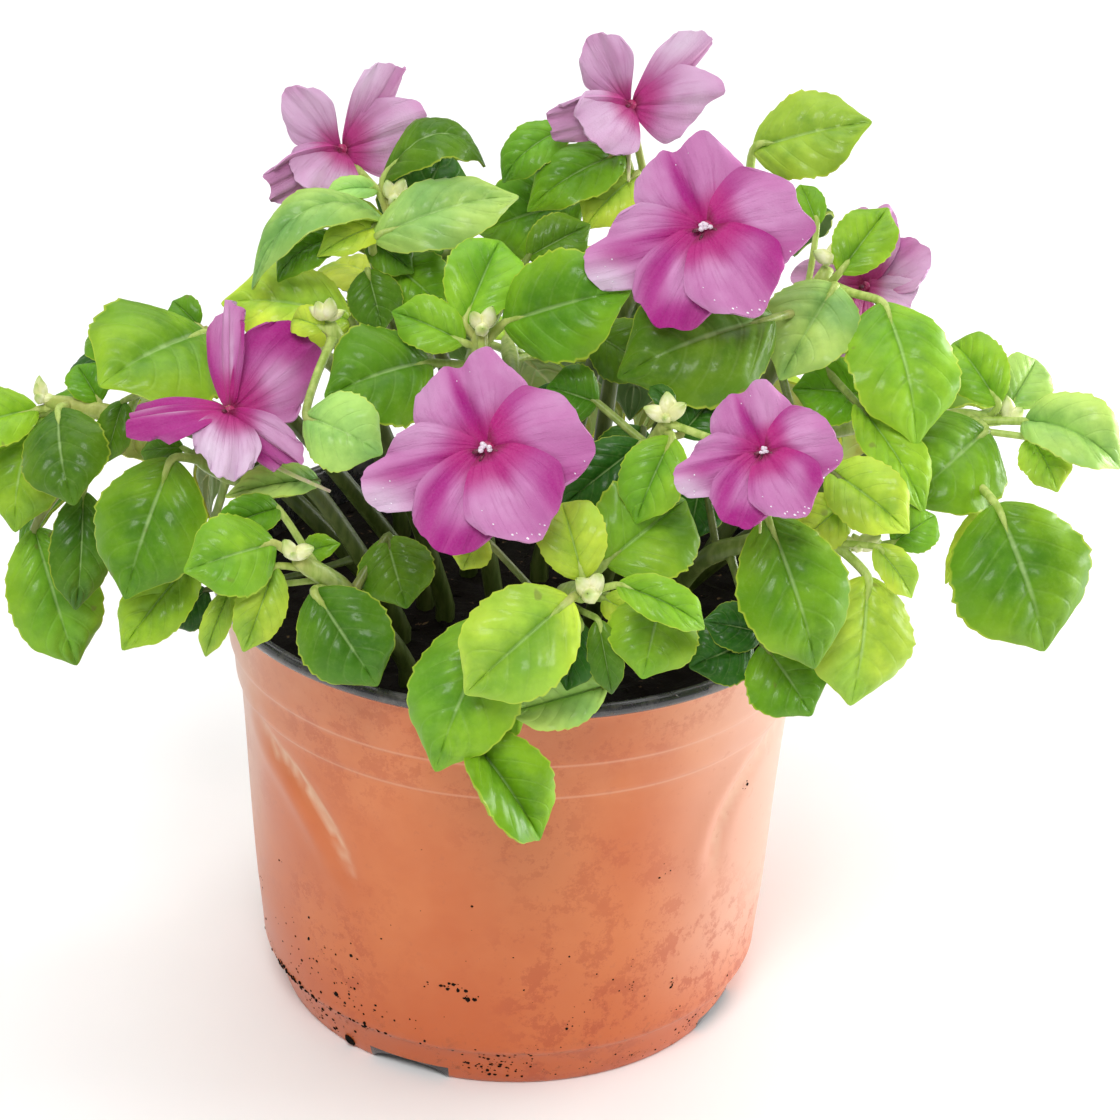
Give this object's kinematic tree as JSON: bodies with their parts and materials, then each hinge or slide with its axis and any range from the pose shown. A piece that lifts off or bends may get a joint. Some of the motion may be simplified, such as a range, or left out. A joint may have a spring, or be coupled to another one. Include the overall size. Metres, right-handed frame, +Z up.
{
  "type": "potted plant",
  "caption": "Busy lizzie with toothed leaves, open five-petalled mauve flowers and pointed buds, rooted in soil in a tapered two-layer plastic nursery pot.",
  "frame": {"origin": "centre of the flat middle of the pot's underside", "axes": "+Z up along the pot's axis; the plant's fullest side, with its open flowers, faces -Y"},
  "size_m": [0.2224, 0.1849, 0.198],
  "materials": {
    "pot_plastic": "thin terracotta-coloured plastic, satin, soiled and scuffed, with a glossy black inner layer that shows at the rolled lip",
    "potting_soil": "near-black damp potting soil with crumbs and bits of bark",
    "leaf": "soft glossy leaf, yellow-green with paler midrib and toothed yellowish edge",
    "shaded_leaf": "soft satin leaf, deeper green",
    "petal": "velvety mauve-magenta petal, paler at its edge and deeper towards the eye",
    "bud": "smooth cream to yellow-green bud"
  },
  "bodies": {
    "root": {"pot": "pot_plastic", "soil": "potting_soil", "shoot_far_left": "leaf", "buds_far_left": "bud", "shoot_left_top": "leaf", "shoot_left_low": "leaf", "shoot_front_left": "leaf", "buds_front_left": "bud", "shoot_top_left": "leaf", "buds_top_left": "bud", "shoot_centre": "leaf", "buds_centre": "bud", "shoot_right_mid": "leaf", "buds_right_mid": "bud", "shoot_front": "leaf", "buds_front": "bud", "shoot_right_low": "leaf", "buds_right_low": "bud", "shoot_far_right": "leaf", "buds_far_right": "bud", "shoot_right_top": "leaf", "buds_right_top": "bud", "shoot_left_mid": "leaf", "buds_left_mid": "bud", "shoot_upper_right": "leaf", "shoot_top": "leaf", "shoot_back_left_low": "shaded_leaf", "shoot_back_left": "shaded_leaf", "shoot_back_middle": "shaded_leaf", "shoot_back_right": "shaded_leaf", "shoot_back_right_low": "shaded_leaf", "shoot_back_top_left": "shaded_leaf", "shoot_back_top_right": "shaded_leaf", "bloom_front": "petal", "bloom_top_right": "petal", "bloom_right": "petal", "bloom_left": "petal", "bloom_top_left": "petal", "bloom_top": "petal", "bloom_far_right": "petal"}
  },
  "joints": []
}
